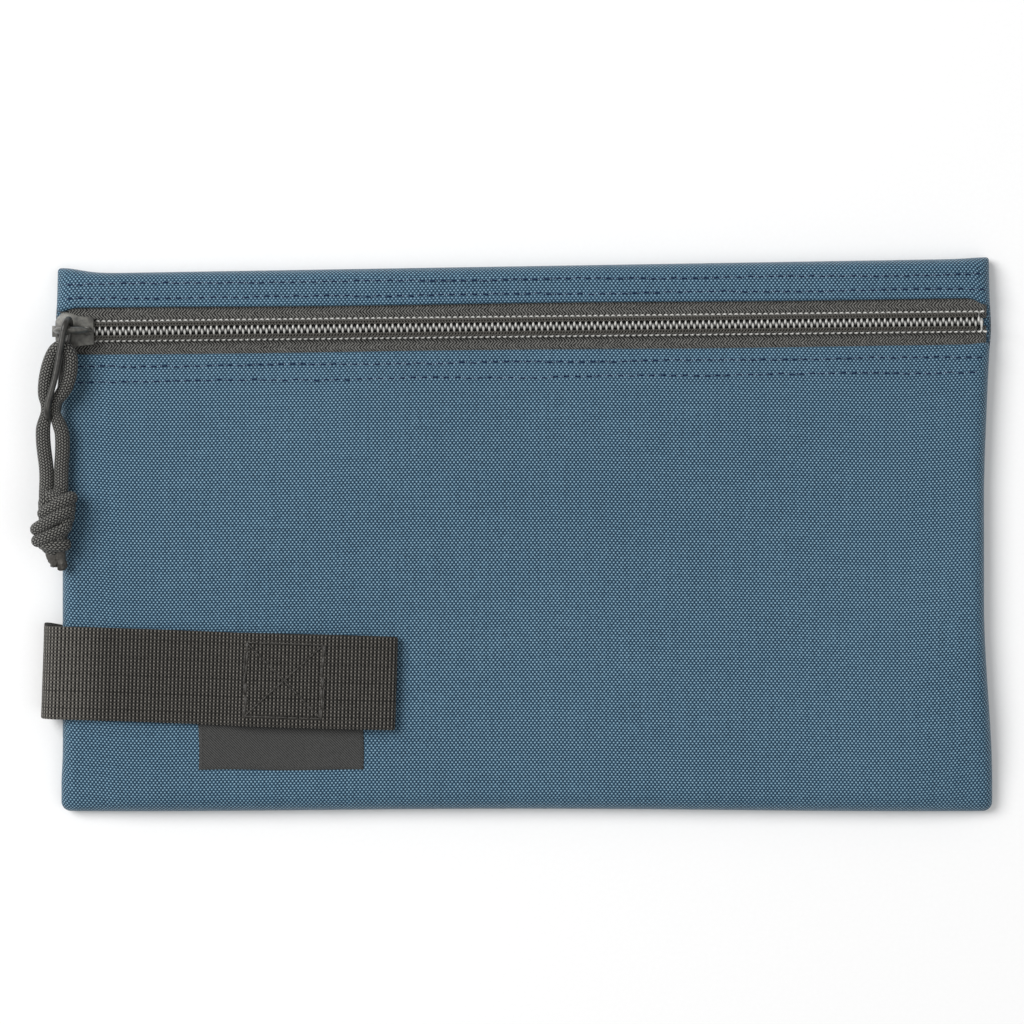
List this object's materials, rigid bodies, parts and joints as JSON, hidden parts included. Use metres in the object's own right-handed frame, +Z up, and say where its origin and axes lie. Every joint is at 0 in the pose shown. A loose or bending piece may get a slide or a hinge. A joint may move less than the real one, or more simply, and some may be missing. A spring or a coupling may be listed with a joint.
{
  "type": "zippered cash deposit bag",
  "caption": "Flat zippered pouch of coated cloth with a coil zip, a corded puller, a webbing hand strap sewn round one side edge and a blank woven label.",
  "frame": {"origin": "under the middle of the whole bag and strap, cord left out, on the surface that it lies on", "axes": "+X along the zip away from the parked slider, +Y from the bag's bottom edge to its zip, +Z up out of the front face"},
  "size_m": [0.262, 0.1504, 0.0183],
  "materials": {
    "cloth_back": "coated plain weave, steel blue",
    "cloth_front": "coated plain weave, steel blue",
    "cloth_band": "coated plain weave, steel blue",
    "binding": "thin woven tape",
    "zip_tape": "herringbone woven tape, dark grey",
    "zip_coil": "smooth nylon filament",
    "zip_thread": "spun thread",
    "seam_thread": "spun thread, near black",
    "slider_metal": "dull dark grey die casting",
    "spring_steel": "bare leaf",
    "wire_metal": "satin dark grey",
    "cord": "braided sheath",
    "cord_tip": "melted nylon",
    "webbing": "ribbed flat webbing",
    "strap_thread": "bonded thread",
    "label_weave": "fine satin weave, blank",
    "label_thread": "fine light thread"
  },
  "bodies": {
    "bag": {"back_panel": "cloth_back", "front_panel": "cloth_front", "side_binding_left": "binding", "side_binding_right": "binding", "bottom_binding": "binding", "zip_tape_lower": "zip_tape", "zip_coil_lower": "zip_coil", "zip_core_lower": "zip_thread", "zip_thread_lower": "zip_thread", "hem_stitches": "seam_thread", "web_strap": "webbing", "strap_stitches_front": "strap_thread", "strap_stitches_back": "strap_thread", "label": "label_weave", "label_stitches": "label_thread"},
    "upper_lip": {"top_band": "cloth_band", "band_stitches": "seam_thread", "zip_tape_upper": "zip_tape", "zip_coil_upper": "zip_coil", "zip_core_upper": "zip_thread", "zip_thread_upper": "zip_thread"},
    "slider": {"slider_body": "slider_metal", "slider_crown": "slider_metal", "slider_spring": "spring_steel"},
    "puller": {"puller_wire": "wire_metal", "cord_hitch": "cord"},
    "cord_end": {"cord_tail": "cord", "cord_knot": "cord", "cord_tips": "cord_tip"}
  },
  "joints": [
    {"name": "slider_slide", "type": "slide", "parent": "bag", "child": "slider", "axis": [0.9999, 0.011, 0], "range_m": [0, 0.236], "deforming": ["zip_coil_lower", "zip_coil_upper", "zip_core_upper", "zip_thread_upper", "zip_tape_upper"]},
    {"name": "upper_lip_open", "type": "hinge", "parent": "bag", "child": "upper_lip", "pos_m": [0.00252, 0.0738, 0.00095], "axis": [-0.9999, -0.011, 0], "range_deg": [0, 60]},
    {"name": "puller_swing", "type": "hinge", "parent": "slider", "child": "puller", "pos_m": [-0.12199, 0.05583, 0.01455], "axis": [-0.9999, -0.011, 0], "range_deg": [0, 115]},
    {"name": "cord_swing", "type": "hinge", "parent": "puller", "child": "cord_end", "pos_m": [-0.1259, 0.0319, 0.0127], "axis": [0, 0, 1], "range_deg": [-15, 50]}
  ],
  "couplings": [
    {"joint": "upper_lip_open", "follows": "slider_slide", "rad_per_m": 4.437}
  ]
}
